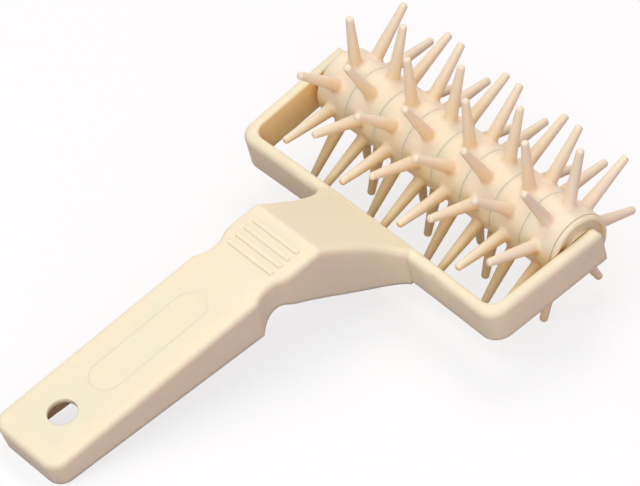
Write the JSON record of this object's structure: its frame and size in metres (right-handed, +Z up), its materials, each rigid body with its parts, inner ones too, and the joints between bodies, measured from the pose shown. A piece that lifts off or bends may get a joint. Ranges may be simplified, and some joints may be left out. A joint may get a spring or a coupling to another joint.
{
  "type": "dough docker",
  "caption": "Hand-held dough docker: a roller of spiked rings turns in a U-shaped yoke on a hollow moulded handle with finger notches, grip ribs and a hanging hole.",
  "frame": {"origin": "on the table, below the middle of the bounding box of the tool at rest", "axes": "+X along the roller to the right as seen from the handle, +Y from the handle's tail towards the roller, +Z up from the table"},
  "size_m": [0.127, 0.2122, 0.0649],
  "materials": {
    "frame_plastic": "soft moulded sheen, cream",
    "ring_plastic": "soft moulded sheen, cream",
    "core_plastic": "soft moulded sheen, cream"
  },
  "bodies": {
    "frame": {"handle_frame": "frame_plastic"},
    "roller": {"spike_ring_1": "ring_plastic", "spike_ring_2": "ring_plastic", "spike_ring_3": "ring_plastic", "spike_ring_4": "ring_plastic", "spike_ring_5": "ring_plastic", "spike_ring_6": "ring_plastic", "spike_ring_7": "ring_plastic", "spike_ring_8": "ring_plastic", "roller_core": "core_plastic", "end_cap": "core_plastic"}
  },
  "joints": [
    {"name": "roller_spin", "type": "hinge", "parent": "frame", "child": "roller", "pos_m": [0, 0.07365, 0.03244], "axis": [1, 0, 0], "continuous": true}
  ]
}
